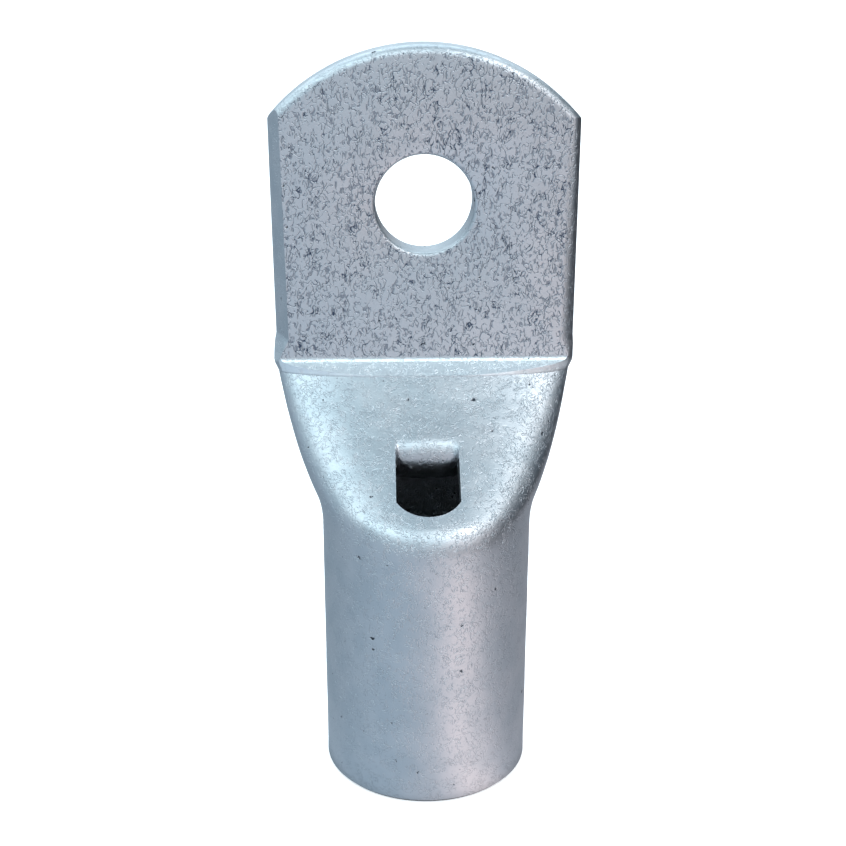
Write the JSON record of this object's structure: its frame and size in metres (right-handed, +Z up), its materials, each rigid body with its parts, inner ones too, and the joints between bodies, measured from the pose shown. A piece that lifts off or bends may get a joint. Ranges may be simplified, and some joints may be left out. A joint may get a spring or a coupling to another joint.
{
  "type": "compression lug",
  "caption": "Tinned copper tube lug with a round barrel, a ramped neck with an inspection window, and a flat palm with a stud hole.",
  "frame": {"origin": "middle of the lug's outline, level with the mouth of the barrel", "axes": "+Z up the barrel from its mouth to the end of the palm, +Y out of the back face of the palm"},
  "size_m": [0.033, 0.0226, 0.0782],
  "materials": {
    "tinned_copper": "satin"
  },
  "bodies": {
    "root": {"lug_body": "tinned_copper"}
  },
  "joints": []
}
